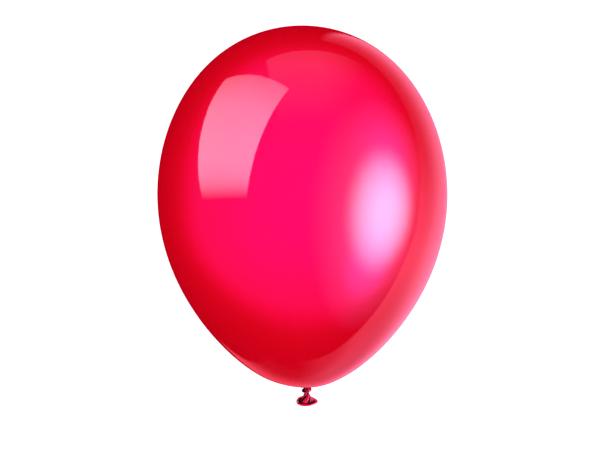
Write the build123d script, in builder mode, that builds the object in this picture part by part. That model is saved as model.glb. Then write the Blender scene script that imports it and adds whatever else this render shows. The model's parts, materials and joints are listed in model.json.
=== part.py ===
"""A round latex balloon, tied off in an overhand knot, in millimetres.

The balloon is one dipped film. Each of its working regions is a piece here: the blown-up
envelope, the gathered neck, the knot's core and loop, the two lengths of the short strand
under the knot, the pleated skirt and the rolled bead round its mouth.

The origin is on the strand just under the knot, where a ribbon is tied. +Z points up.
"""

import os
from math import cos, pi, sin, sqrt

from build123d import *

# The blown-up envelope.
bulb_diameter = 300.0
bulb_height = 376.0
film = 0.3  # stands in for a real film of about 0.02
bulb_fullness = (1.0, 0.061, -0.0187, 0.0093)  # sine terms: round, pear, square, tip
outline_steps = 12  # in each half of the outline
search_steps = 2000  # for the widest girth

# The neck, where the film gathers into the knot.
neck_radius = 3.0
neck_web = 1.6
mouth_clearance = 0.4

# The knot.
knot_width = 10.4
knot_loop_height = 3.0
knot_loop_z = 2.8
knot_core_span = 3.9  # between the pivots at its two ends

# The strand under the knot, with one pivot at each end of each length.
strand_radius = 2.3
strand_web = 1.2
strand_lower_length = 1.4
clearance = 0.3

# The skirt and its rolled bead, seen as a small trumpet that hangs a little askew.
rim_width = 22.4
bead_radius = 0.9
skirt_depth = 4.1  # from the centre of its dome down to its rim
skirt_wall = 0.5
skirt_plug = 0.9
flare_reach = 0.6  # how far out and down the trumpet's curve is pulled before its rim
flare_drop = 0.8
tail_tilt = 16.0  # lowers the side towards -Y

# Places that follow from those sizes.
dish_radius = strand_radius + clearance
dish_rise = sqrt(dish_radius**2 - strand_radius**2)
tail_nod_z = 0.0
tail_sway_z = tail_nod_z - strand_web - clearance
tail_twist_z = tail_sway_z - strand_lower_length
neck_sway_z = tail_nod_z + knot_core_span
neck_nod_z = neck_sway_z + neck_web + clearance
bulb_base_z = neck_nod_z - film
mouth_radius = neck_radius + mouth_clearance
skirt_dome_z = tail_twist_z - clearance / 2 - strand_radius
bead_ring_radius = rim_width / 2 - bead_radius


def bulb_girth(turn):
    """How far out the outline stands: turn is 0 at the crown and pi at the base."""
    return sum(term * sin((i + 1) * turn) for i, term in enumerate(bulb_fullness))


def bulb_outline(width, height, base_z, start, end):
    """Points down one side of a pear-shaped outline, between two turns."""
    points = []
    for i in range(outline_steps + 1):
        turn = start + (end - start) * i / outline_steps
        reach = width / 2 * bulb_girth(turn) / widest_girth
        points.append((reach, base_z + height * (1 + cos(turn)) / 2))
    return points


widest_turn = max((pi * i / search_steps for i in range(search_steps)), key=bulb_girth)
widest_girth = bulb_girth(widest_turn)

# The outline is level at the crown and the base, and upright at the widest girth.
crown_ends = {"tangents": ((1, 0), (0, -1)), "tangent_scalars": (1, 1)}
base_ends = {"tangents": ((0, -1), (-1, 0)), "tangent_scalars": (1, 1)}
tail_origin = (0, 0, skirt_dome_z)
tail_plane = Plane(origin=tail_origin, x_dir=(1, 0, 0), z_dir=(0, -1, 0)).rotated((tail_tilt, 0, 0))
tail_axis = Axis(tail_origin, tail_plane.y_dir)

# The envelope: a round mouth is sunk into the solid pear, then a smaller pear is taken out of
# it, which leaves the film and opens the mouth.
with BuildPart() as envelope:
    with BuildSketch(Plane.XZ):
        with BuildLine():
            outside = (bulb_diameter, bulb_height, bulb_base_z)
            crown = Spline(*bulb_outline(*outside, 0, widest_turn), **crown_ends)
            base = Spline(*bulb_outline(*outside, widest_turn, pi), **base_ends)
            Line(base @ 1, crown @ 0)
        make_face()
    revolve(axis=Axis.Z)
    with BuildSketch(Plane.XY.offset(bulb_base_z - film)):
        Circle(mouth_radius)
    extrude(amount=4 * film, mode=Mode.SUBTRACT)
    with BuildSketch(Plane.XZ):
        with BuildLine():
            inside = (bulb_diameter - 2 * film, bulb_height - 2 * film, bulb_base_z + film)
            crown = Spline(*bulb_outline(*inside, 0, widest_turn), **crown_ends)
            base = Spline(*bulb_outline(*inside, widest_turn, pi), **base_ends)
            Line(base @ 1, crown @ 0)
        make_face()
    revolve(axis=Axis.Z, mode=Mode.SUBTRACT)
envelope.part.label = "envelope"

# The gathered neck: a ball in the mouth, dished underneath to take the end of the knot's core.
with BuildPart() as neck_gather:
    with Locations((0, 0, neck_nod_z)):
        Sphere(neck_radius)
    split(bisect_by=Plane.XY.offset(neck_sway_z + dish_rise), keep=Keep.TOP)
    with Locations((0, 0, neck_sway_z)):
        Sphere(dish_radius, mode=Mode.SUBTRACT)
neck_gather.part.label = "neck_gather"

# The knot's core: a short post, domed at the top and dished at the bottom.
with BuildPart() as knot_core:
    with BuildSketch(Plane.XY.offset(tail_nod_z + dish_rise)):
        Circle(strand_radius)
    extrude(amount=neck_sway_z - tail_nod_z - dish_rise)
    with Locations((0, 0, neck_sway_z)):
        Sphere(strand_radius)
    with Locations((0, 0, tail_nod_z)):
        Sphere(dish_radius, mode=Mode.SUBTRACT)
knot_core.part.label = "knot_core"

# The knot's loop: a fat turn of film that bears on the core all the way round.
with BuildPart() as knot_loop:
    with BuildSketch(Plane.XZ):
        loop_reach = knot_width / 2 - strand_radius
        with Locations((strand_radius, knot_loop_z)):
            Ellipse(loop_reach, knot_loop_height / 2)
        with Locations((strand_radius, knot_loop_z)):
            Rectangle(knot_width, knot_width, align=(Align.MAX, Align.CENTER), mode=Mode.SUBTRACT)
    revolve(axis=Axis.Z)
knot_loop.part.label = "knot_loop"

# The strand's upper length: domed into the knot's core, dished for the lower length.
with BuildPart() as strand_upper:
    with BuildSketch(Plane.XY.offset(tail_sway_z + dish_rise)):
        Circle(strand_radius)
    extrude(amount=tail_nod_z - tail_sway_z - dish_rise)
    with Locations((0, 0, tail_nod_z)):
        Sphere(strand_radius)
    split(bisect_by=Plane.XY.offset(tail_sway_z + dish_rise), keep=Keep.TOP)
    with Locations((0, 0, tail_sway_z)):
        Sphere(dish_radius, mode=Mode.SUBTRACT)
strand_upper.part.label = "strand_upper"

# The strand's lower length: domed at the top, flat where the skirt twists against it.
with BuildPart() as strand_lower:
    with BuildSketch(Plane.XY.offset(tail_twist_z + clearance / 2)):
        Circle(strand_radius)
    extrude(amount=tail_sway_z - tail_twist_z - clearance / 2)
    with Locations((0, 0, tail_sway_z)):
        Sphere(strand_radius)
    split(bisect_by=Plane.XY.offset(tail_twist_z + clearance / 2), keep=Keep.TOP)
strand_lower.part.label = "strand_lower"

# The skirt: a thin trumpet on its own tilted axis, domed where it turns against the strand.
with BuildPart() as tail_skirt:
    with BuildSketch(tail_plane):
        with BuildLine():
            rim = (bead_ring_radius, -skirt_depth)
            pull = (bead_ring_radius * flare_reach, -skirt_depth * flare_drop)
            dome = RadiusArc((0, strand_radius), (strand_radius, 0), strand_radius)
            Bezier(dome @ 1, (strand_radius, -skirt_depth / 2), pull, rim)
            lip = Line(rim, (bead_ring_radius, -skirt_depth - skirt_wall))
            under = Bezier(
                lip @ 1,
                (pull[0], pull[1] - skirt_wall),
                (strand_radius - skirt_wall, -skirt_depth / 2 - skirt_wall),
                (0, -skirt_plug),
            )
            Line(under @ 1, dome @ 0)
        make_face()
    revolve(axis=tail_axis)
tail_skirt.part.label = "tail_skirt"

# The rolled bead: a ring rolled round the skirt's edge.
with BuildPart() as rim_bead:
    with BuildSketch(tail_plane):
        with Locations((bead_ring_radius, -skirt_depth - skirt_wall / 2)):
            Circle(bead_radius)
    revolve(axis=tail_axis)
    add(tail_skirt.part, mode=Mode.SUBTRACT)
rim_bead.part.label = "rim_bead"

os.makedirs("parts", exist_ok=True)
export_step(envelope.part, "parts/envelope.step")
export_step(neck_gather.part, "parts/neck_gather.step")
export_step(knot_core.part, "parts/knot_core.step")
export_step(knot_loop.part, "parts/knot_loop.step")
export_step(strand_upper.part, "parts/strand_upper.step")
export_step(strand_lower.part, "parts/strand_lower.step")
export_step(tail_skirt.part, "parts/tail_skirt.step")
export_step(rim_bead.part, "parts/rim_bead.step")
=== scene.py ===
# %% [markdown]
# # A tied latex balloon
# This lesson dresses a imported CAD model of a 30 cm party balloon. The CAD holds the sizes and the
# pivots of the soft tail. Blender makes the looks: a stretched film that light shines through, and
# a knot, a strand and a skirt of the same rubber, unstretched, which are so dense that they look
# nearly black in their folds. Everything is in metres, in the CAD's own frame.

# %% Load the frame
import json
from math import cos, exp, pi, radians, sin, sqrt

import bpy
import numpy as np
from mathutils import Matrix, Vector


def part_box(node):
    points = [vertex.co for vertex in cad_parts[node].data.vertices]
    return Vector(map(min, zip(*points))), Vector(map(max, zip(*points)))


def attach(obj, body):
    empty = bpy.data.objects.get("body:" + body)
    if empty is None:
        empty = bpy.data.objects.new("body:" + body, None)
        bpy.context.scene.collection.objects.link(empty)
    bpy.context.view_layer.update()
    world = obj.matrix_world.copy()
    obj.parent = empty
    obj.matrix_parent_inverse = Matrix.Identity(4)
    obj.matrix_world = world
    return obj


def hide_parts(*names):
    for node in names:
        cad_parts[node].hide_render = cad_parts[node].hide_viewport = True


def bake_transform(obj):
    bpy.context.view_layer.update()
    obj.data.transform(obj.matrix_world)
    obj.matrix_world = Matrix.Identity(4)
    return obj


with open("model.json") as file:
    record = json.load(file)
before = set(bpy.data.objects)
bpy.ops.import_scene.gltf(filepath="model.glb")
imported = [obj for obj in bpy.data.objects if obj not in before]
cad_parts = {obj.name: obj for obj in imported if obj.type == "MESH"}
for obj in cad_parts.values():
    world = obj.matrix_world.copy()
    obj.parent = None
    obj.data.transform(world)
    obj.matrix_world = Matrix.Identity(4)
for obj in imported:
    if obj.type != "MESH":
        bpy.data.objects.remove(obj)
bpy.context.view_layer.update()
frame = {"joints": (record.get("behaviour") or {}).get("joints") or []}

MM = 0.001
pivot = {joint["name"]: Vector(joint["pos_m"]) for joint in frame["joints"]}
print("pivots:", sorted(pivot))

# %% [markdown]
# ## Skinning rings
# Every piece of a balloon is a tube of some kind: rings of points, one after another, skinned with
# quads. Modelling by rings keeps the edges flowing round and along the rubber, which is how its
# folds run, and it gives clean closed meshes. A single point in place of a ring closes an end.


# %% A helper that skins rings
def skin(name, rings, looped=False):
    """Joins rings of points into a closed, smooth mesh. A ring of one point is a pole."""
    points, faces, starts = [], [], []
    for ring in rings:
        starts.append((len(points), len(ring)))
        points.extend(tuple(p) for p in ring)
    pairs = list(zip(starts, starts[1:]))
    if looped:
        pairs.append((starts[-1], starts[0]))
    for (a, count_a), (b, count_b) in pairs:
        count = max(count_a, count_b)
        for i in range(count):
            j = (i + 1) % count
            corners = [a + i % count_a, a + j % count_a, b + j % count_b, b + i % count_b]
            faces.append(tuple(dict.fromkeys(corners)))
    mesh = bpy.data.meshes.new(name)
    mesh.from_pydata(points, [], faces)
    mesh.shade_smooth()
    piece = bpy.data.objects.new(name, mesh)
    bpy.context.scene.collection.objects.link(piece)
    print(name, "has", len(faces), "faces")
    return piece


# %% Helpers that turn faces outward and blend numbers
def turn_outward(piece):
    """Flips the mesh if its faces look inward, judged by its signed volume."""
    mesh = piece.data
    mesh.calc_loop_triangles()
    spots = np.array([v.co for v in mesh.vertices])
    tris = np.array([t.vertices for t in mesh.loop_triangles])
    a, b, c = spots[tris[:, 0]], spots[tris[:, 1]], spots[tris[:, 2]]
    volume = np.einsum("ij,ij->i", a, np.cross(b, c)).sum() / 6
    if volume < 0:
        mesh.flip_normals()
    print(piece.name, "encloses", round(abs(volume) * 1e9, 1), "cubic mm")


def smooth_step(value, low, high):
    """0 below low, 1 above high, and a soft S between them."""
    x = min(max((value - low) / (high - low), 0.0), 1.0)
    return x * x * (3 - 2 * x)


print("a quarter of the way up a smooth step:", smooth_step(0.25, 0.0, 1.0))

# %% [markdown]
# ## The envelope
# A round balloon isn't a ball. The dipping former is narrow at the neck, so the film there is
# thicker and stretches less, and the shape draws out into a pear. Four sine terms give that pear:
# one for a round shape, one that makes it a pear, one that squares it a little and one for the tip.
# A sculpted ball could be pulled into the same form, but a formula is exact and easy to change.

# %% The pear's outline
PEAR_TERMS = (1.0, 0.061, -0.0187, 0.0093)
SEARCH_STEPS = 2000
envelope_low, envelope_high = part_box("envelope")
bulb_radius = (envelope_high.x - envelope_low.x) / 2
bulb_height = envelope_high.z - envelope_low.z
bulb_base = envelope_low.z


def girth(turn):
    """The pear's half width before scaling: turn is 0 at the crown and pi at the base."""
    return sum(term * sin((i + 1) * turn) for i, term in enumerate(PEAR_TERMS))


widest = max(girth(pi * i / SEARCH_STEPS) for i in range(SEARCH_STEPS))


def pear(turn, inset=0.0):
    """Radius and height on the pear at a turn, moved inward by inset."""
    step = 1e-4
    radius = bulb_radius * girth(turn) / widest
    height = bulb_base + bulb_height * (1 + cos(turn)) / 2
    along_r = bulb_radius * (girth(turn + step) - girth(turn - step)) / widest
    along_z = bulb_height * (cos(turn + step) - cos(turn - step)) / 2
    length = sqrt(along_r**2 + along_z**2)
    return max(radius + inset * along_z / length, 0.0), height - inset * along_r / length


print("bulb radius", round(bulb_radius, 4), "height", round(bulb_height, 4))
print("bulb base at", round(bulb_base, 4))

# %% [markdown]
# ## The film of the envelope
# The film is given two skins, because a closed wall catches light on both sides.
# Round the knot the film is drawn down and gathers into small radial pleats, and the knot sits a
# few millimetres to one side of the pear's axis, as it does on a balloon tied by hand. A displaced
# surface could show the pleats, but moving the rings' own points keeps them in the mesh itself.

# %% Rings of the film
FILM_WALL = 0.3 * MM
AXIS_SHIFT = 3.2 * MM  # from the knot's axis to the pear's
SHIFT_FADES = (3 * MM, 45 * MM)  # ring radii over which the shift comes in
MOUTH = 3.0 * MM
FUNNEL_DROP, FUNNEL_REACH = 0.5 * MM, 1.8 * MM
BASE_LIFT, BASE_LIFT_REACH = 1.5 * MM, 12 * MM  # a full balloon's base is a touch flatter
PLEATS, PLEAT_HEIGHT, PLEAT_REACH = 13, 0.34 * MM, 4.0 * MM
UNEVEN_PLEATS, UNEVEN_SHARE, UNEVEN_START = PLEATS - 4, 0.4, 1.0  # so that no two are alike
AROUND, DOWN = 192, 150
EVEN_RINGS = DOWN - 6
BASE_RINGS, BASE_CLOSING = 25, 0.82  # each of these is that much nearer to the base


def envelope_ring(turn, inset):
    """One ring of the film, with the pleats and the funnel that gather it into the knot."""
    radius, height = pear(turn, inset)
    pleat, shift = 0.0, AXIS_SHIFT
    if turn > pi / 2:
        shift = AXIS_SHIFT * smooth_step(radius, *SHIFT_FADES)
        radius = sqrt(radius**2 + MOUTH**2 * exp(-radius / FUNNEL_REACH))
        height += BASE_LIFT * exp(-(height - bulb_base) / BASE_LIFT_REACH)
        height -= FUNNEL_DROP * exp(-(radius - MOUTH) / FUNNEL_REACH)
        pleat = PLEAT_HEIGHT * exp(-(radius - MOUTH) / PLEAT_REACH)
    ring = []
    for i in range(AROUND):
        angle = 2 * pi * i / AROUND
        wave = pleat * cos(PLEATS * angle)
        wave += UNEVEN_SHARE * pleat * cos(UNEVEN_PLEATS * angle + UNEVEN_START)
        lean = Vector((cos(angle), sin(angle), 0))
        ring.append(lean * radius + Vector((-shift, 0, height + wave)))
    return ring


def envelope_turns():
    """Turns from near the crown to near the base, closer together towards the knot."""
    even = [pi * (i + 0.5) / DOWN for i in range(EVEN_RINGS)]
    left = pi - even[-1]
    return even + [pi - left * BASE_CLOSING**i for i in range(1, BASE_RINGS + 1)]


def envelope_skin(inset):
    """The rings of one skin, from its pole at the crown down to the mouth."""
    crown = Vector((-AXIS_SHIFT, 0, pear(0.0, inset)[1]))
    return [[crown]] + [envelope_ring(turn, inset) for turn in envelope_turns()]


print("each skin has", len(envelope_turns()), "rings")

# %% Skin the envelope and mark its outer side
outer_skin = envelope_skin(0.0)
inner_skin = envelope_skin(FILM_WALL)[::-1]
envelope = skin("envelope_film", outer_skin + inner_skin)
turn_outward(envelope)
outer_count = sum(len(ring) for ring in outer_skin)
inner_count = sum(len(ring) for ring in inner_skin)
outer_mark = envelope.data.attributes.new("outer", "FLOAT", "POINT")
outer_mark.data.foreach_set("value", [1.0] * outer_count + [0.0] * inner_count)
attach(envelope, "bulb")
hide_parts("envelope")
print("points outside:", outer_count, "inside:", inner_count)

# %% [markdown]
# ## The camera
# A long lens that stands well back flattens the perspective, so that the balloon's outline is seen
# almost as it is. The lens looks level at the balloon's middle. A hair of roll makes the balloon
# seem to lean a little, as no balloon hangs quite straight. Leaning the model would do it too, but
# then it would no longer agree with its CAD.

# %% Place the camera
VIEW_DISTANCE, LENS, SENSOR = 1.6, 91.0, 36.0
CAMERA_HEIGHT, CAMERA_SIDE = 0.1755, -0.0007
ROLL = radians(0.36)
camera_data = bpy.data.cameras.new("camera")
camera_data.lens = LENS
camera_data.sensor_width = SENSOR
camera = bpy.data.objects.new("camera", camera_data)
bpy.context.scene.collection.objects.link(camera)
bpy.context.scene.camera = camera
camera.location = (CAMERA_SIDE, -VIEW_DISTANCE, CAMERA_HEIGHT)
level_view = Matrix.Rotation(pi / 2, 3, "X")
camera.rotation_euler = (Matrix.Rotation(ROLL, 3, "Y") @ level_view).to_euler()
print("the camera stands at", [round(c, 4) for c in camera.location])

# %% [markdown]
# ## The shared line of the tail
# Below the knot the rubber is slack again, so it is thick, dark and folded. All of it follows one
# line: straight down from the neck, then along the axis of the little skirt, which hangs a bit
# askew. The folds of gathered rubber have round crests and sharp valleys, so the outline of a ring
# is a sum of |cos| waves, and the waves turn as they go down, because the tail was twisted while it
# was tied. Each point also remembers how near a crest it is, and the finish paints the valleys
# darker, partly for the denser rubber and partly as painted shade in the folds.

# %% The tail's line and its folds
TAIL_TILT = radians(19.5)
TWIST_GAP, DOME_RADIUS = 0.15 * MM, 2.3 * MM  # from the twist pivot to the skirt's dome, and its size
dome_z = (pivot["tail_twist"].z - TWIST_GAP) - DOME_RADIUS
UP = Vector((0, -sin(TAIL_TILT), cos(TAIL_TILT)))
ACROSS = Vector((1, 0, 0))
FLOW = Vector((0, cos(TAIL_TILT), sin(TAIL_TILT)))
SPIRAL = 0.2 / MM  # radians a metre
FOLD_TURN = 0.4
FOLD_WAVES = ((1.5, 0.3, 0.3), (2.5, 1.1, 0.48), (4.5, 0.4, 0.22))  # how often, start, share
MEAN_CREST = 0.62


def folds(angle, down, seed=FOLD_TURN):
    """0 in a valley, 1 on a crest, at an angle round the rubber and a distance down it."""
    turned = angle + SPIRAL * down + seed
    return sum(share * abs(cos(often * turned + start)) for often, start, share in FOLD_WAVES)


print("dome at", round(dome_z, 5), "and a fold at the front:", round(folds(-pi / 2, 0.0), 2))

# %% Helpers for folded pieces
STRAND_AROUND = 72
SHARP_EDGE = radians(55)
# painted shade: the closing points' mark lies below the ramp's first stop, so the ends are painted
# near black where they tuck into the rubber
DEEP_SHADE_MARK = 0.3


def strand_ring(z, radius, depth):
    """A folded ring round the straight part of the tail."""
    ring, marks = [], []
    for i in range(STRAND_AROUND):
        angle = 2 * pi * i / STRAND_AROUND
        crest = folds(angle, -z)
        reach = radius * (1 + depth * (crest - MEAN_CREST))
        ring.append(Vector((reach * cos(angle), reach * sin(angle), z)))
        marks.append(crest)
    return ring, marks


def folded_piece(name, rings, looped=False):
    """Skins rings of (points, crest marks), keeps hard ends hard, and stores the marks."""
    piece = skin(name, [points for points, _ in rings], looped)
    turn_outward(piece)
    marks = [mark for _, ring_marks in rings for mark in ring_marks]
    store = piece.data.attributes.new("crest", "FLOAT", "POINT")
    store.data.foreach_set("value", marks)
    piece.data.set_sharp_from_angle(angle=SHARP_EDGE)
    return piece


def pole(point):
    """A closing point, deep in the rubber, painted near black as shade."""
    return [Vector(point)], [DEEP_SHADE_MARK]


print("a strand ring has", STRAND_AROUND, "points")

# %% [markdown]
# ## Neck, knot core and strand
# These are short lengths of the same gathered tube. One long tube would have to bend at four
# pivots, and a piece can be blended across only one. So there is one length from each body to the
# next, and its ends meet its neighbours' ends ring to ring.

# %% The lengths of the gathered tube
# Each row: piece, heights of top and foot in mm, radii there in mm, bodies it joins, CAD node.
LENGTHS = (
    ("neck_film", (6.9, 4.3), (2.8, 2.9), ("bulb", "neck"), "neck_gather"),
    ("knot_core_film", (4.3, 1.2), (2.9, 2.4), ("neck", "knot"), "knot_core"),
    ("strand_upper_film", (1.2, -0.4), (2.4, 3.1), ("knot", "upper_strand"), "strand_upper"),
    ("strand_lower_film", (-0.4, -2.9), (3.1, 4.2), ("upper_strand", "lower_strand"), "strand_lower"),
)
FOLD_DEPTH = 0.42
RING_STEP, FEWEST_RINGS = 0.14 * MM, 4


def gathered_length(name, heights, radii, bodies, node):
    """One length of the folded tube. Its bodies are not used."""
    top, foot = (height * MM for height in heights)
    top_radius, foot_radius = (radius * MM for radius in radii)
    count = max(int((top - foot) / RING_STEP), FEWEST_RINGS)
    rings = [pole((0, 0, top))]
    for i in range(count + 1):
        z = top + (foot - top) * i / count
        radius = top_radius + (foot_radius - top_radius) * i / count
        rings.append(strand_ring(z, radius, FOLD_DEPTH))
    rings.append(pole((0, 0, foot)))
    piece = folded_piece(name, rings)
    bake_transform(piece)
    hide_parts(node)
    return piece


gathered = [gathered_length(*row) for row in LENGTHS]

# %% [markdown]
# ## The knot's loop
# An overhand knot is the tube wound once round itself and tucked through. Seen from outside, that
# is one flattened coil that falls from upper right to lower left across the front, bulges at both
# sides and disappears into the middle at its ends. A torus would be simpler, but it has no ends to
# tuck in. So the loop is swept along a coil whose radius grows from nothing and shrinks back.

# %% The coil that the loop follows
LOOP_TURNS, LOOP_START = 1.42, radians(95)
LOOP_TOP, LOOP_FOOT, LOOP_REACH = 4.6 * MM, 3.7 * MM, 3.35 * MM
LOOP_SWAY = 0.45 * MM  # higher on the right than on the left
COMES_OUT, GOES_IN = (-0.02, 0.16), (0.86, 1.02)  # parts of the way along the coil
loop_low, loop_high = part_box("knot_loop")
print("the CAD's loop spans", round((loop_high.x - loop_low.x) / MM, 2), "mm")


def loop_centre(t):
    """The middle of the coil's tube, t going from 0 to 1 along it."""
    angle = LOOP_START - 2 * pi * LOOP_TURNS * t
    reach = LOOP_REACH * smooth_step(t, *COMES_OUT) * (1 - smooth_step(t, *GOES_IN))
    height = LOOP_TOP + (LOOP_FOOT - LOOP_TOP) * t + LOOP_SWAY * cos(angle)
    return Vector((reach * cos(angle), reach * sin(angle), height))


# %% Wind the loop
LOOP_STEPS, LOOP_AROUND = 150, 40
LOOP_WIDTH, LOOP_HEIGHT = 1.85 * MM, 2.0 * MM
END_THICK, MORE_THICK = 0.55, 0.45  # at the tucked-in ends, and what is added between them
THICK_FROM, THICK_TO = (0.0, 0.2), (0.8, 1.0)
LOOP_WRINKLE, LOOP_SEED, LOOP_RUN = 0.3, 0.8, 6 * MM
LOOP_PAINTED_SHADE, LOOP_PAINTED_SHADE_OVER = 0.45, (0.5 * MM, 3.5 * MM)  # painted shade on the left side of the loop


def loop_ring(t):
    """A flattened ring of the coil, wrinkled along its length, with painted shade on its left side.
    """
    stride = 0.01
    centre = loop_centre(t)
    run = (loop_centre(t + stride) - loop_centre(t - stride)).normalized()
    up = (Vector((0, 0, 1)) - run * run.z).normalized()
    out = run.cross(up)
    thick = END_THICK + MORE_THICK * smooth_step(t, *THICK_FROM) * (1 - smooth_step(t, *THICK_TO))
    ring, marks = [], []
    for i in range(LOOP_AROUND):
        angle = 2 * pi * i / LOOP_AROUND
        crest = folds(angle, LOOP_RUN * t, LOOP_SEED)
        reach = thick * (1 + LOOP_WRINKLE * (crest - MEAN_CREST))
        side = out * (LOOP_WIDTH * reach * cos(angle))
        point = centre + side + up * (LOOP_HEIGHT * reach * sin(angle))
        ring.append(point)
        # painted shade: marks on the left of the loop are lowered, so the ramp paints that side
        # darker
        marks.append(crest * (1 - LOOP_PAINTED_SHADE * smooth_step(-point.x, *LOOP_PAINTED_SHADE_OVER)))
    return ring, marks


loop_rings = [loop_ring(i / LOOP_STEPS) for i in range(LOOP_STEPS + 1)]
loop_rings = [pole(loop_centre(0.0))] + loop_rings + [pole(loop_centre(1.0))]
knot_loop = folded_piece("knot_loop_film", loop_rings)
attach(knot_loop, "knot")
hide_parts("knot_loop")
gathered.append(knot_loop)

# %% [markdown]
# ## The skirt
# What is left of the open neck flares into a small trumpet. Its pleats are deep where it leaves the
# strand and die out towards the mouth. It is open underneath, so an inner skin runs back up into
# the funnel. A cone with a modifier could stand in for it, but two drawn curves, one for each skin,
# say exactly how it flares. They are turned round the tail's line and pleated.

# %% The waving edge
# Each wave of the edge: size in mm, how often, and where it starts.
EDGE_OUT = ((0.2, 3, 0.5), (0.12, 5, 0.0))
EDGE_RISE = ((0.45, 2, 2.2), (0.2, 3, 1.0))
BEAD_RADIUS = 0.9 * MM
bead_low, bead_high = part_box("rim_bead")
rim_radius = (bead_high.x - bead_low.x) / 2 - BEAD_RADIUS


def rim_wave(angle):
    """How far the edge stands out and up from a plain circle."""
    out = sum(size * cos(often * angle + start) for size, often, start in EDGE_OUT)
    rise = sum(size * cos(often * angle + start) for size, often, start in EDGE_RISE)
    return out * MM, rise * MM


print("rim radius", round(rim_radius, 5))

# %% The skirt's curves and its leaning axis
# Controls are (radius, height) in mm, from the strand to the edge.
OUTER = ((4.2, 2.45), (5.2, 0.9), (6.0, -2.6), (10.3, -1.9))
INNER = ((0.4, 1.9), (3.2, 1.4), (4.6, -3.1), (10.3, -2.35))
LEANS_OVER = (-2.45 * MM, 0.5 * MM)  # depths between which the axis leans in


def bezier(points, u):
    """A point on the curve drawn by four (radius, height) controls in millimetres."""
    v = 1 - u
    parts = (v**3, 3 * v**2 * u, 3 * v * u**2, u**3)
    radius = sum(part * point[0] for part, point in zip(parts, points)) * MM
    height = sum(part * point[1] for part, point in zip(parts, points)) * MM
    return radius, height


def skirt_point(angle, radius, height):
    """A point of the skirt. Its axis leans in gently below the strand."""
    lean = smooth_step(-height, *LEANS_OVER)
    straight = Vector((radius * cos(angle), radius * sin(angle), dome_z + height))
    askew = Vector((0, 0, dome_z)) + UP * height
    askew += ACROSS * (radius * cos(angle)) + FLOW * (radius * sin(angle))
    return straight.lerp(askew, lean)


print("the skirt ends at", [round(c / MM, 2) for c in bezier(OUTER, 1.0)], "mm")

# %% Rings of the skirt
SKIRT_AROUND = 120
PLEAT_LOSS, PLEAT_LOSS_OVER = 0.93, (0.35, 1.0)
RIPPLE, RIPPLE_OVER = 1.6, (0.4, 0.8)  # the flare's folds also stand up and down
HOLLOW_AT, HOLLOW_WIDTH, HOLLOW_SHADE = 0.76, 0.11, 0.45  # painted shade: a dark ring in the hollow just inside the bead
EDGE_POWER, FLAT_EDGE_POWER = 4, 12


def skirt_ring(curve, u, depth):
    """A pleated ring of the skirt, u going from 0 at the strand to 1 at the edge."""
    radius, height = bezier(curve, u)
    down = -(dome_z + height)
    fade = 1 - PLEAT_LOSS * smooth_step(u, *PLEAT_LOSS_OVER)
    ripple_in = smooth_step(u, *RIPPLE_OVER)
    ring, marks = [], []
    for i in range(SKIRT_AROUND):
        angle = 2 * pi * i / SKIRT_AROUND
        crest = folds(angle, down)
        fold = crest - MEAN_CREST
        out, rise = rim_wave(angle)
        reach = radius * (1 + depth * fade * fold) + out * u**EDGE_POWER
        ripple = RIPPLE * depth * MM * fold * ripple_in * (1 - u**FLAT_EDGE_POWER)
        ring.append(skirt_point(angle, reach, height + ripple + rise * u**EDGE_POWER))
        # painted shade: the marks dip in a ring just inside the bead, so the ramp paints it darker
        marks.append(crest * (1 - HOLLOW_SHADE * exp(-(((u - HOLLOW_AT) / HOLLOW_WIDTH) ** 2))))
    return ring, marks


print("a skirt ring has", SKIRT_AROUND, "points")

# %% Pleat the skirt
SKIRT_STEPS = 56
INNER_DEPTH = 0.5 * FOLD_DEPTH
skirt_top = 2.45 * MM
skirt_plug = 2.0 * MM
steps = range(SKIRT_STEPS + 1)
skirt_rings = [pole((0, 0, dome_z + skirt_top))]
skirt_rings += [skirt_ring(OUTER, i / SKIRT_STEPS, FOLD_DEPTH) for i in steps]
skirt_rings += [skirt_ring(INNER, i / SKIRT_STEPS, INNER_DEPTH) for i in reversed(steps)]
skirt_rings += [pole((0, 0, dome_z + skirt_plug))]
skirt = folded_piece("skirt_film", skirt_rings)
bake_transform(skirt)
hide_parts("tail_skirt")
gathered.append(skirt)

# %% [markdown]
# ## The rolled bead
# The factory rolls the edge of the neck into a bead, which makes it easier to blow up. The bead
# waves a little, and the skirt's edge waves with it, so both take their edge from one function. A
# bevelled curve would make a plain bead. Rings can also carry the scores where its layers end. Their
# marks are low in the scores, which is painted shade, and high between them, which keeps the bead
# bright red to pink, partly as a painted highlight.

# %% Roll the bead
BEAD_STEPS, BEAD_AROUND = 180, 32
RIM_DROP = 2.1 * MM
SCORES, SCORE_TWIST = 2.5, 0.7  # how many, and how far they wind round the bead
SCORE_MARKS, SCORED_SIZE = (0.72, 0.28), (0.9, 0.1)  # the mark in a score, and what a crest adds: low in the scores for painted shade, high between them for a painted highlight
THICKER, THICKER_OFTEN, THICKER_START = 0.08, 4, 1.3


def bead_ring(angle):
    """A ring of the bead, scored by the edges of the rolled layers."""
    out, rise = rim_wave(angle)
    thick = 1 + THICKER * cos(THICKER_OFTEN * angle + THICKER_START)
    ring, marks = [], []
    for i in range(BEAD_AROUND):
        turn = 2 * pi * i / BEAD_AROUND
        crest = SCORE_MARKS[0] + SCORE_MARKS[1] * abs(cos(SCORES * turn + SCORE_TWIST * angle))
        reach = BEAD_RADIUS * (SCORED_SIZE[0] + SCORED_SIZE[1] * crest) * thick
        radius = rim_radius + out + reach * cos(turn)
        ring.append(skirt_point(angle, radius, rise - RIM_DROP + reach * sin(turn)))
        marks.append(crest)
    return ring, marks


bead_rings = [bead_ring(2 * pi * i / BEAD_STEPS) for i in range(BEAD_STEPS)]
bead = folded_piece("rim_bead_film", bead_rings, True)
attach(bead, "tail")
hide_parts("rim_bead")
gathered.append(bead)

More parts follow.
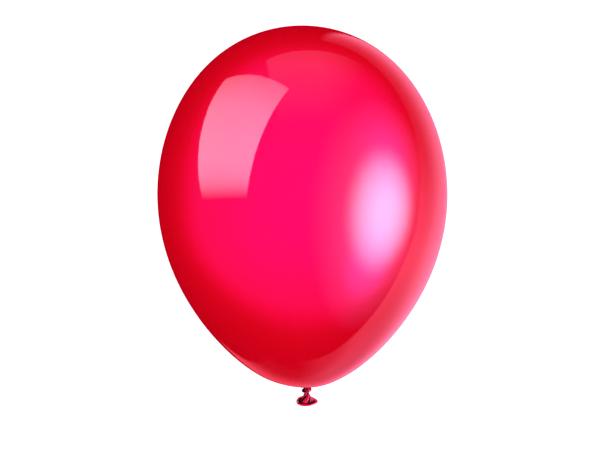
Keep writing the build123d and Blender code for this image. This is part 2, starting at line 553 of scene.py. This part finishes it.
# %% [markdown]
# ## Grain shared by both finishes
# Dipped latex isn't quite smooth. It keeps a faint orange-peel swell from the dip and fine specks
# of the powder that stops it sticking. A picture of grain would need the mesh to be unwrapped, and
# noise in the object's own space doesn't. Both finishes use the same grain at their own scale, so
# it is a node group with named inputs.

# %% Sockets of the grain group
grain_group = bpy.data.node_groups.new("latex_grain", "ShaderNodeTree")
for socket, start in (("Swell Scale", 60.0), ("Speck Scale", 900.0)):
    entry = grain_group.interface.new_socket(socket, in_out="INPUT", socket_type="NodeSocketFloat")
    entry.default_value = start
for socket in ("Height", "Speck"):
    grain_group.interface.new_socket(socket, in_out="OUTPUT", socket_type="NodeSocketFloat")
print("grain sockets:", [item.name for item in grain_group.interface.items_tree])

# %% Nodes of the grain group
SPECK_FROM, SPECK_TO = 0.62, 0.78
group_in = grain_group.nodes.new("NodeGroupInput")
group_out = grain_group.nodes.new("NodeGroupOutput")
place = grain_group.nodes.new("ShaderNodeTexCoord")
swell = grain_group.nodes.new("ShaderNodeTexNoise")
speck = grain_group.nodes.new("ShaderNodeTexNoise")
swell.inputs["Detail"].default_value = 2.0
speck.inputs["Detail"].default_value = 4.0
sift = grain_group.nodes.new("ShaderNodeMapRange")
sift.inputs["From Min"].default_value = SPECK_FROM
sift.inputs["From Max"].default_value = SPECK_TO
for noise, scale in ((swell, "Swell Scale"), (speck, "Speck Scale")):
    grain_group.links.new(place.outputs["Object"], noise.inputs["Vector"])
    grain_group.links.new(group_in.outputs[scale], noise.inputs["Scale"])
grain_group.links.new(swell.outputs["Fac"], group_out.inputs["Height"])
grain_group.links.new(speck.outputs["Fac"], sift.inputs["Value"])
grain_group.links.new(sift.outputs["Result"], group_out.inputs["Speck"])
print("grain group has", len(grain_group.nodes), "nodes")

# %% [markdown]
# ## Helpers for colours and materials
# A colour is easiest to choose as it is seen on a display, but light adds up in linear values, so a
# helper changes one into the other. Blender's colour fields could be typed in by hand, but then
# the numbers would say little to a reader. The other helpers start a material, fill a colour ramp
# and place the grain.


# %% Define the helpers
def linear(display):
    """A display colour of 0 to 255, as the linear values that light adds up in."""
    return [(c / 255 / 12.92) if c < 10 else ((c / 255 + 0.055) / 1.055) ** 2.4 for c in display]


def new_material(name):
    """An empty node material with its output node."""
    material = bpy.data.materials.new(name)
    material.use_nodes = True
    material.node_tree.nodes.clear()
    output = material.node_tree.nodes.new("ShaderNodeOutputMaterial")
    return material, material.node_tree, output


def set_ramp(node, stops):
    """Gives a colour ramp its stops of (place, linear colour)."""
    ramp = node.color_ramp
    while len(ramp.elements) < len(stops):
        ramp.elements.new(0.5)
    for element, (where, colour) in zip(ramp.elements, stops):
        element.position = where
        element.color = (*colour, 1.0)


def add_grain(tree, swell_scale, speck_scale):
    """Places the grain group with its own scales."""
    grain = tree.nodes.new("ShaderNodeGroup")
    grain.node_tree = grain_group
    grain.inputs["Swell Scale"].default_value = swell_scale
    grain.inputs["Speck Scale"].default_value = speck_scale
    return grain


print("a middle grey is", round(linear((128, 128, 128))[0], 3), "in linear light")

# %% [markdown]
# ## The stretched film
# The envelope is a coloured filter rather than a diffuse skin: what the eye sees is the white studio
# through two thicknesses of dyed latex. Straight on, the dye is thin and lets pink light by. Towards
# the edge it deepens to red. Part of that is real, as the light crosses the film at a slant and
# meets more dye, and part is painted shade: the steep drop to deep red near the edge stands in for
# the back light that reaches the edge less. A Transparent shader with a colour does that, and Layer
# Weight's Facing says how slanted the film is. The light crosses four skins, so each takes the fourth
# root of the whole colour. A little Principled stands for dye that scatters light, and a Glossy
# shader on the outward faces is the wet-looking surface, which grows stronger at a slant. A volume of
# dye would do too, but slowly and with noise.

# %% Colours of the whole balloon by slant, with painted shade towards the edge
STUDIO_WHITE = 1.3  # the lit background is overexposed, as in a studio cut-out
PIGMENT = 0.03
PIGMENT_GLOW = 0.07  # the red that the scattering dye adds of its own
GLOSS_FLAT, GLOSS_EDGE, GLOSS_POWER = 0.045, 0.22, 4.0
SKINS, GLOSSY_SKINS = 4, 1
# painted shade: past a slant of about 0.4 the steep drop to deep red stands in for the back light
# that reaches the edge less; the longer path through the dye gives only part of it
SEEN_THROUGH_AND_EDGE_SHADE = (
    (0.00, (255, 11, 106)),
    (0.23, (252, 13, 86)),
    (0.32, (250, 13, 79)),
    (0.40, (243, 8, 58)),
    (0.47, (227, 6, 38)),
    (0.54, (216, 4, 27)),
    (0.68, (205, 2, 22)),
    (1.00, (181, 1, 18)),
)


def skin_tint(slant, display):
    """The colour that one skin lets through, so that all of them together give display."""
    gloss = GLOSS_FLAT + GLOSS_EDGE * slant**GLOSS_POWER
    kept = STUDIO_WHITE * (1 - gloss) ** GLOSSY_SKINS * (1 - PIGMENT) ** SKINS
    red, green, blue = linear(display)
    return [min(c / kept, 1.0) ** (1 / SKINS) for c in (red - PIGMENT_GLOW, green, blue)]


tints = [(where, skin_tint(where, display)) for where, display in SEEN_THROUGH_AND_EDGE_SHADE]
for where, tint in tints:
    print("slant", where, "one skin lets through", [round(c, 3) for c in tint])

# %% How much dye the light meets, with painted shade towards the edge
SLACK_HEIGHT, SLACK_DYE = 0.17, 0.38  # below this height the film is less stretched, so denser
stretched, tree, output = new_material("stretched_latex")
nodes, links = tree.nodes, tree.links
slant = nodes.new("ShaderNodeLayerWeight")
slant.inputs["Blend"].default_value = 0.5
place = nodes.new("ShaderNodeTexCoord")
axes = nodes.new("ShaderNodeSeparateXYZ")
slack = nodes.new("ShaderNodeMapRange")
slack.interpolation_type = "SMOOTHSTEP"
slack.inputs["From Max"].default_value = SLACK_HEIGHT
slack.inputs["To Min"].default_value = SLACK_DYE
slack.inputs["To Max"].default_value = 0.0
dyed_slant = nodes.new("ShaderNodeMath")
dyed_slant.operation = "ADD"
# the ramp paints the film deeper red towards the edge, partly for the slant through the dye and
# partly as painted shade
dye = nodes.new("ShaderNodeValToRGB")
set_ramp(dye, tints)
links.new(place.outputs["Object"], axes.inputs[0])
links.new(axes.outputs["Z"], slack.inputs["Value"])
links.new(slant.outputs["Facing"], dyed_slant.inputs[0])
links.new(slack.outputs["Result"], dyed_slant.inputs[1])
links.new(dyed_slant.outputs[0], dye.inputs["Fac"])
print("the dye has", len(dye.color_ramp.elements), "stops")

# %% The filter, with a little scattering dye
clear = nodes.new("ShaderNodeBsdfTransparent")
pigment = nodes.new("ShaderNodeBsdfPrincipled")
pigment.inputs["Base Color"].default_value = (0.8, 0.004, 0.05, 1.0)
pigment.inputs["Roughness"].default_value = 0.6
pigment.inputs["Specular IOR Level"].default_value = 0.0
dyed = nodes.new("ShaderNodeMixShader")
dyed.inputs["Fac"].default_value = PIGMENT
links.new(dye.outputs["Color"], clear.inputs["Color"])
links.new(clear.outputs["BSDF"], dyed.inputs[1])
links.new(pigment.outputs["BSDF"], dyed.inputs[2])
print("share of scattering dye:", PIGMENT)

# %% The wet-looking surface
wet = nodes.new("ShaderNodeBsdfGlossy")
wet.inputs["Color"].default_value = (1.0, 1.0, 1.0, 1.0)
grain = add_grain(tree, 45.0, 1500.0)
polish = nodes.new("ShaderNodeMapRange")
polish.inputs["To Min"].default_value = 0.035
polish.inputs["To Max"].default_value = 0.09
relief = nodes.new("ShaderNodeBump")
relief.inputs["Strength"].default_value = 0.02
relief.inputs["Distance"].default_value = 0.0002
links.new(grain.outputs["Height"], relief.inputs["Height"])
links.new(relief.outputs["Normal"], wet.inputs["Normal"])
links.new(grain.outputs["Speck"], polish.inputs["Value"])
links.new(polish.outputs["Result"], wet.inputs["Roughness"])
print("grain scales on the film:", [entry.default_value for entry in grain.inputs])

# %% How strongly the surface shines
# It shines on the outward faces of the outer skin alone, and more at a slant.
steep = nodes.new("ShaderNodeMath")
steep.operation = "POWER"
steep.inputs[1].default_value = GLOSS_POWER
grow = nodes.new("ShaderNodeMath")
grow.operation = "MULTIPLY_ADD"
grow.inputs[1].default_value = GLOSS_EDGE
grow.inputs[2].default_value = GLOSS_FLAT
side = nodes.new("ShaderNodeNewGeometry")
outward = nodes.new("ShaderNodeMath")
outward.operation = "SUBTRACT"
outward.inputs[0].default_value = 1.0
outer = nodes.new("ShaderNodeAttribute")
outer.attribute_name = "outer"
skin_side = nodes.new("ShaderNodeMath")
skin_side.operation = "MULTIPLY"
gloss = nodes.new("ShaderNodeMath")
gloss.operation = "MULTIPLY"
links.new(slant.outputs["Facing"], steep.inputs[0])
links.new(steep.outputs[0], grow.inputs[0])
links.new(side.outputs["Backfacing"], outward.inputs[1])
links.new(outward.outputs[0], skin_side.inputs[0])
links.new(outer.outputs["Fac"], skin_side.inputs[1])
links.new(grow.outputs[0], gloss.inputs[0])
links.new(skin_side.outputs[0], gloss.inputs[1])
print("gloss runs from", GLOSS_FLAT, "to", round(GLOSS_FLAT + GLOSS_EDGE, 3))

# %% Put the stretched film together
shine = nodes.new("ShaderNodeMixShader")
links.new(gloss.outputs[0], shine.inputs["Fac"])
links.new(dyed.outputs["Shader"], shine.inputs[1])
links.new(wet.outputs["BSDF"], shine.inputs[2])
links.new(shine.outputs["Shader"], output.inputs["Surface"])
envelope.data.materials.append(stretched)
print("stretched film has", len(nodes), "nodes")

# %% [markdown]
# ## The gathered film
# Slack latex is ten times thicker than the stretched film, so hardly any light gets through, and
# it takes its colour from its own surface: saturated red on the crests, nearly black in the
# valleys between them. That near black is partly the dense rubber and partly painted shade in the
# folds. Ambient occlusion could find the valleys, but it changes with the pose. The crest marks
# stored on the points stay put, and the specks of powder dull the polish here and there.

# %% Colour of the crests, and painted shade in the valleys
# the valleys' near black is partly the dense rubber and partly painted shade in the folds
CREST_COLOURS_AND_VALLEY_SHADE = (
    (0.40, (7, 0, 4)),
    (0.58, (56, 0, 16)),
    (0.73, (180, 0, 36)),
    (0.93, (246, 20, 84)),
)
packed, tree, output = new_material("gathered_latex")
nodes, links = tree.nodes, tree.links
mark = nodes.new("ShaderNodeAttribute")
mark.attribute_name = "crest"
valley_shade_ramp = nodes.new("ShaderNodeValToRGB")
set_ramp(valley_shade_ramp, [(where, linear(display)) for where, display in CREST_COLOURS_AND_VALLEY_SHADE])
links.new(mark.outputs["Fac"], valley_shade_ramp.inputs["Fac"])
print("colours from valley to crest:", len(valley_shade_ramp.color_ramp.elements))

# %% Build the gathered film
grain = add_grain(tree, 700.0, 5000.0)
polish = nodes.new("ShaderNodeMapRange")
polish.inputs["To Min"].default_value = 0.16
polish.inputs["To Max"].default_value = 0.34
relief = nodes.new("ShaderNodeBump")
relief.inputs["Strength"].default_value = 0.25
relief.inputs["Distance"].default_value = 0.0002
rubber = nodes.new("ShaderNodeBsdfPrincipled")
rubber.inputs["IOR"].default_value = 1.52
rubber.inputs["Specular IOR Level"].default_value = 0.35
rubber.inputs["Specular Tint"].default_value = (1.0, 0.25, 0.4, 1.0)
rubber.inputs["Coat Weight"].default_value = 0.06
rubber.inputs["Coat Roughness"].default_value = 0.12
links.new(valley_shade_ramp.outputs["Color"], rubber.inputs["Base Color"])
links.new(grain.outputs["Speck"], polish.inputs["Value"])
links.new(polish.outputs["Result"], rubber.inputs["Roughness"])
links.new(grain.outputs["Height"], relief.inputs["Height"])
links.new(relief.outputs["Normal"], rubber.inputs["Normal"])
links.new(rubber.outputs["BSDF"], output.inputs["Surface"])
for piece in gathered:
    piece.data.materials.append(packed)
    piece.visible_glossy = False  # the film's underside is kept clear of the tail's mirror image
print("gathered film is on", [piece.name for piece in gathered])

# %% [markdown]
# ## The studio
# The balloon hangs before white paper that is lit by itself. The world plays the paper: white when
# looked at, soft when it lights a surface, and dark in reflections, except for two places. A lit
# wall behind on the right draws the bright rim, redder where it is near and pinker far back, and
# lit paper low behind warms the lower edge. Light Path tells those rays apart. Real walls would do
# the same, but they would stand in the way of the other views.

# %% Start the world
scene = bpy.context.scene
scene.view_settings.view_transform = "Standard"
world = bpy.data.worlds.new("studio")
scene.world = world
world.use_nodes = True
nodes, links = world.node_tree.nodes, world.node_tree.links
nodes.clear()
compass = nodes.new("ShaderNodeTexCoord")
axes = nodes.new("ShaderNodeSeparateXYZ")
links.new(compass.outputs["Generated"], axes.inputs[0])
to_right, to_back, to_top = axes.outputs
print("directions:", [socket.name for socket in axes.outputs])


# %% Sums and soft steps of directions
def world_math(operation, first, second):
    """A math node on two sockets or numbers."""
    node = nodes.new("ShaderNodeMath")
    node.operation = operation
    for entry, source in zip(node.inputs, (first, second)):
        if isinstance(source, (int, float)):
            entry.default_value = source
        else:
            links.new(source, entry)
    return node.outputs[0]


def times(first, second):
    """The product of two sockets or numbers."""
    return world_math("MULTIPLY", first, second)


def plus(first, second):
    """The sum of two sockets or numbers."""
    return world_math("ADD", first, second)


def minus(first, second):
    """The difference of two sockets or numbers."""
    return world_math("SUBTRACT", first, second)


def world_step(source, low, high):
    """A soft step from 0 at low to 1 at high."""
    node = nodes.new("ShaderNodeMapRange")
    node.interpolation_type = "SMOOTHSTEP"
    node.inputs["From Min"].default_value = low
    node.inputs["From Max"].default_value = high
    links.new(source, node.inputs["Value"])
    return node.outputs["Result"]


print("the world starts with", len(nodes), "nodes")

# %% Where the lit wall stands
WALL_FRONT, WALL_SOFT, WALL_BACK = 0.22, 0.05, 0.75
WALL_BEND = 0.34  # its front edge goes back as it rises
LOW_FRONT, LOW_FRONT_OVER = 0.06, (-0.1, -0.5)  # and comes forward a little low down
LOW_RIGHT, HIGH_RIGHT, HIGH = (-0.12, 0.3), (0.11, 0.17), (-0.2, 0.2)
front_edge = times(world_math("MAXIMUM", to_top, 0.0), WALL_BEND)
low_front = times(world_step(to_top, *LOW_FRONT_OVER), LOW_FRONT)
wall_depth = plus(minus(to_back, front_edge), low_front)
wall_edge = world_step(wall_depth, WALL_FRONT, WALL_FRONT + WALL_SOFT)
low_right = world_step(to_right, *LOW_RIGHT)
high_right = world_step(to_right, *HIGH_RIGHT)
right_change = times(world_step(to_top, *HIGH), minus(high_right, low_right))
right = plus(low_right, right_change)
print("the wall runs from depth", WALL_FRONT, "to", WALL_BACK)

# %% How the lit wall glows
WALL_NEAR, WALL_FAR, WALL_LIGHT = (1.0, 0.15, 0.3), (1.0, 0.3, 0.52), 5.1
NEAR_GLOW, FAR_GLOW = 0.75, 0.5
UPPER, UPPER_LOSS = (-0.5, 0.3), 0.56
LOWEST, LOWEST_LOSS = (-0.8, -0.93), 0.4
NOT_UNDER, UNDER_LOSS = (-0.75, -0.2), 0.45
lowest = times(world_step(to_top, *LOWEST), LOWEST_LOSS)
upper = times(world_step(to_top, *UPPER), UPPER_LOSS)
near_glow = minus(minus(NEAR_GLOW, lowest), upper)
far_back = world_step(wall_depth, WALL_FRONT, WALL_BACK)
not_under = world_step(to_top, *NOT_UNDER)
far_glow = times(times(far_back, not_under), FAR_GLOW)
under_dim = times(times(far_back, minus(1.0, not_under)), UNDER_LOSS)
wall_glow = times(plus(near_glow, far_glow), minus(1.0, under_dim))
wall = times(times(wall_edge, wall_glow), right)
wall_colour = nodes.new("ShaderNodeValToRGB")
set_ramp(wall_colour, [(0.0, WALL_NEAR), (1.0, WALL_FAR)])
lit_wall = nodes.new("ShaderNodeBackground")
links.new(far_back, wall_colour.inputs["Fac"])
links.new(wall_colour.outputs["Color"], lit_wall.inputs["Color"])
links.new(times(wall, WALL_LIGHT), lit_wall.inputs["Strength"])
print("the wall's light is", WALL_LIGHT)

# %% The lit paper low behind
LOW_COLOUR, LOW_LIGHT = (1.0, 0.14, 0.24, 1.0), 2.9
SLOPE_RIGHT, SLOPE_BACK, SLOPE_TOP = 0.525, 0.14, 0.186  # its left edge is a sloping plane
EDGE_SOFT, BELOW, BEHIND = (0.0, 0.03), (-0.30, -0.37), (0.28, 0.45)
RISE_OVER, RISE, RISE_FLOOR = (0.5, 0.85), 0.85, 0.15
slope = minus(times(to_back, SLOPE_BACK), times(to_top, SLOPE_TOP))
low_side = plus(times(to_right, SLOPE_RIGHT), slope)
low_edge = times(world_step(low_side, *EDGE_SOFT), world_step(to_top, *BELOW))
low_edge = times(low_edge, world_step(to_back, *BEHIND))
low_rise = plus(times(world_step(to_back, *RISE_OVER), RISE), RISE_FLOOR)
low_glow = times(times(low_edge, low_rise), minus(1.0, right))
lit_paper = nodes.new("ShaderNodeBackground")
lit_paper.inputs["Color"].default_value = LOW_COLOUR
links.new(times(low_glow, LOW_LIGHT), lit_paper.inputs["Strength"])
print("the low paper's light is", LOW_LIGHT)

# %% The paper that is looked at, and the soft light
WHITE = (1.0, 1.0, 1.0, 1.0)
KEY_SIDE, KEY_OVER = (0.8, -0.25, 0.55), (-0.5, 1.0)
KEY_LIGHT, EVEN_LIGHT = 1.9, 0.2
paper = nodes.new("ShaderNodeBackground")
paper.inputs["Color"].default_value = WHITE
paper.inputs["Strength"].default_value = STUDIO_WHITE
soft = nodes.new("ShaderNodeBackground")
soft.inputs["Color"].default_value = WHITE
key_side = nodes.new("ShaderNodeVectorMath")
key_side.operation = "DOT_PRODUCT"
key_side.inputs[1].default_value = KEY_SIDE
links.new(compass.outputs["Generated"], key_side.inputs[0])
key_light = times(world_step(key_side.outputs["Value"], *KEY_OVER), KEY_LIGHT)
links.new(plus(key_light, EVEN_LIGHT), soft.inputs["Strength"])
print("the soft light runs from", EVEN_LIGHT, "to", EVEN_LIGHT + KEY_LIGHT)

# %% Give each kind of ray its own world
paths = nodes.new("ShaderNodeLightPath")
reflected = nodes.new("ShaderNodeAddShader")
by_gloss = nodes.new("ShaderNodeMixShader")
by_camera = nodes.new("ShaderNodeMixShader")
world_out = nodes.new("ShaderNodeOutputWorld")
links.new(lit_wall.outputs[0], reflected.inputs[0])
links.new(lit_paper.outputs[0], reflected.inputs[1])
links.new(paths.outputs["Is Glossy Ray"], by_gloss.inputs["Fac"])
links.new(soft.outputs[0], by_gloss.inputs[1])
links.new(reflected.outputs[0], by_gloss.inputs[2])
links.new(paths.outputs["Is Camera Ray"], by_camera.inputs["Fac"])
links.new(by_gloss.outputs[0], by_camera.inputs[1])
links.new(paper.outputs[0], by_camera.inputs[2])
links.new(by_camera.outputs[0], world_out.inputs["Surface"])
print("the world has", len(nodes), "nodes")

# %% [markdown]
# ## The lamps that show as reflections
# A glossy sphere shows a small image of each lamp. A plain area light glows evenly, so it would show
# as a flat patch with hard edges. So each lamp here is a card with a glow that is painted on it:
# sharp-edged for the soft box, fading to nothing for the others. A card shows only in reflections,
# so it never stands in the way of another view, and it is see-through, so that cards can lie over
# one another and their glows add up.


# %% The glow on a card
def along(tree, place, axis):
    """How far along an axis of the card each spot is."""
    split = tree.nodes.new("ShaderNodeSeparateXYZ")
    tree.links.new(place, split.inputs[0])
    return split.outputs[axis]


def from_middle(tree, place):
    """How far from the card's middle each spot is."""
    measure = tree.nodes.new("ShaderNodeVectorMath")
    measure.operation = "LENGTH"
    tree.links.new(place, measure.inputs[0])
    return measure.outputs["Value"]


def glow_level(tree, strength, fade, side_fade):
    """How bright each spot is. fade is ("round" or an axis, start, end, stops between them)."""
    kind, low, high, stops = fade
    place = tree.nodes.new("ShaderNodeTexCoord").outputs["Object"]
    spread = tree.nodes.new("ShaderNodeMapRange")
    spread.inputs["From Min"].default_value = low
    spread.inputs["From Max"].default_value = high
    ramp = tree.nodes.new("ShaderNodeValToRGB")
    set_ramp(ramp, [(where, (bright, bright, bright)) for where, bright in stops])
    level = tree.nodes.new("ShaderNodeMath")
    level.operation = "MULTIPLY"
    level.inputs[1].default_value = strength
    spot = from_middle(tree, place) if kind == "round" else along(tree, place, kind)
    tree.links.new(spot, spread.inputs["Value"])
    tree.links.new(spread.outputs["Result"], ramp.inputs["Fac"])
    tree.links.new(ramp.outputs["Color"], level.inputs[0])
    if side_fade:
        dim = tree.nodes.new("ShaderNodeMapRange")
        dim.interpolation_type = "SMOOTHSTEP"
        dim.inputs["From Min"].default_value = side_fade[0]
        dim.inputs["From Max"].default_value = side_fade[1]
        dim.inputs["To Min"].default_value = strength
        dim.inputs["To Max"].default_value = 0.0
        tree.links.new(along(tree, place, "X"), dim.inputs["Value"])
        tree.links.new(dim.outputs["Result"], level.inputs[1])
    return level.outputs[0]


print("a glow can run along an axis of its card or out from its middle")


# %% A see-through material that glows
def card_glow(name, colour, strength, fade, side_fade=None):
    """The material of one card."""
    material, tree, output = new_material(name + "_glow")
    glow = tree.nodes.new("ShaderNodeEmission")
    glow.inputs["Color"].default_value = (*colour, 1.0)
    see_through = tree.nodes.new("ShaderNodeBsdfTransparent")
    both = tree.nodes.new("ShaderNodeAddShader")
    tree.links.new(glow_level(tree, strength, fade, side_fade), glow.inputs["Strength"])
    tree.links.new(glow.outputs[0], both.inputs[0])
    tree.links.new(see_through.outputs[0], both.inputs[1])
    tree.links.new(both.outputs[0], output.inputs["Surface"])
    print(material.name, "has strength", strength)
    return material


# %% A card that faces the balloon
CARD_DISTANCE = 1.2
BALLOON_MIDDLE = Vector((0, 0, 0.2))


def square(half):
    """The corners of a square card."""
    return [(-half, -half), (half, -half), (half, half), (-half, half)]


def card(name, azimuth, elevation, corners, material):
    """A card in a direction in degrees. corners are (across, up) in metres in its plane."""
    azimuth, elevation = radians(azimuth), radians(elevation)
    level_part = cos(elevation)
    away = Vector((level_part * cos(azimuth), level_part * sin(azimuth), sin(elevation)))
    centre = BALLOON_MIDDLE + away * CARD_DISTANCE
    across = Vector((0, 0, 1)).cross(away).normalized()
    up = away.cross(across)
    turn = Matrix((across, up, away)).transposed().to_4x4()
    mesh = bpy.data.meshes.new(name)
    mesh.from_pydata([(x, y, 0) for x, y in corners], [], [tuple(range(len(corners)))])
    mesh.materials.append(material)
    piece = bpy.data.objects.new(name, mesh)
    piece.matrix_world = Matrix.Translation(centre) @ turn
    scene.collection.objects.link(piece)
    piece.visible_camera = False
    piece.visible_diffuse = False
    piece.visible_shadow = False
    piece.visible_transmission = False
    print(name, "glows from", [round(c, 2) for c in centre])
    return piece


# %% The soft box on the left
BOX_STOPS = (
    (0.0, 0.0), (0.06, 0.28), (0.12, 0.6), (0.18, 0.8), (0.27, 0.95), (0.33, 1.0),
    (0.48, 0.95), (0.67, 0.83), (0.8, 0.64), (0.91, 0.48), (1.0, 0.3),
)
box_corners = [(-0.86, -0.92), (0.23, -0.92), (0.38, 0.70), (-1.01, 0.72)]
box_glow = card_glow("soft_box", (1.0, 0.95, 1.35), 5.6, ("Y", -0.9, 0.75, BOX_STOPS))
soft_box = card("soft_box", -140, 35, box_corners, box_glow)

# %% The softer light on the right, with a violet glow below it and above it
FILL_STOPS = (
    (0.0, 1.0), (0.06, 0.95), (0.11, 0.82), (0.167, 0.6), (0.21, 0.4), (0.25, 0.22),
    (0.29, 0.1), (0.33, 0.05), (0.45, 0.025), (0.6, 0.01), (0.78, 0.0), (1.0, 0.0),
)
LOW_STOPS = ((0.0, 1.0), (0.3, 0.72), (0.55, 0.18), (1.0, 0.0))
HIGH_STOPS = ((0.0, 1.0), (0.35, 0.7), (0.6, 0.3), (1.0, 0.0))
FILL_HALF, LOW_HALF, HIGH_HALF = 2.4, 0.9, 0.75
fill_glow = card_glow("fill_lamp", (0.95, 0.76, 1.2), 16.0, ("round", 0.0, FILL_HALF, FILL_STOPS))
fill_lamp = card("fill_lamp", -28, -8, square(FILL_HALF), fill_glow)
low_fill_glow = card_glow("low_fill", (0.7, 0.1, 1.0), 4.6, ("round", 0.0, LOW_HALF, LOW_STOPS))
low_fill = card("low_fill", -30, -32, square(LOW_HALF), low_fill_glow)
high_fill_glow = card_glow("high_fill", (0.5, 0.02, 1.0), 3.2, ("round", 0.0, HIGH_HALF, HIGH_STOPS))
high_fill = card("high_fill", -22, 16, square(HIGH_HALF), high_fill_glow)

# %% The faint card overhead
TOP_STOPS = ((0.0, 0.0), (0.3, 0.4), (0.6, 0.85), (1.0, 1.0))
TOP_SIDE_FADE = (0.1, 0.9)
top_corners = [(-0.42, -1.0), (0.95, -1.0), (0.95, 0.62), (0.15, 0.40), (-0.42, 0.30)]
top_fade = ("Y", -1.0, 0.6, TOP_STOPS)
top_glow = card_glow("top_card", (1.0, 0.9, 1.3), 0.5, top_fade, TOP_SIDE_FADE)
top_card = card("top_card", -90, 80, top_corners, top_glow)

# %% [markdown]
# ## The floor
# The balloon hangs over a plain pale floor. The floor is round and ends before the camera's view
# takes it in, so the balloon stands on pure white, and the other views still have a ground. A
# larger plane would be simpler, but its edge would show as a line behind the balloon.

# %% Lay the floor
FLOOR_Z, FLOOR_RADIUS, FLOOR_SIDES = -0.36, 1.8, 128
corner_angles = [2 * pi * i / FLOOR_SIDES for i in range(FLOOR_SIDES)]
floor_ring = [Vector((FLOOR_RADIUS * cos(a), FLOOR_RADIUS * sin(a), FLOOR_Z)) for a in corner_angles]
floor = skin("floor", [floor_ring, [Vector((0, 0, FLOOR_Z))]])
floor.visible_glossy = False

# %% Paint the floor
pale, tree, output = new_material("pale_floor")
plaster = tree.nodes.new("ShaderNodeBsdfPrincipled")
plaster.inputs["Roughness"].default_value = 0.9
plaster.inputs["Specular IOR Level"].default_value = 0.0
tone = tree.nodes.new("ShaderNodeTexNoise")
tone.inputs["Scale"].default_value = 6.0
tone_ramp = tree.nodes.new("ShaderNodeValToRGB")
set_ramp(tone_ramp, [(0.0, (0.92, 0.92, 0.92)), (1.0, (0.96, 0.96, 0.96))])
tree.links.new(tone.outputs["Fac"], tone_ramp.inputs["Fac"])
tree.links.new(tone_ramp.outputs["Color"], plaster.inputs["Base Color"])
tree.links.new(plaster.outputs["BSDF"], output.inputs["Surface"])
floor.data.materials.append(pale)
print("the floor lies at", FLOOR_Z)
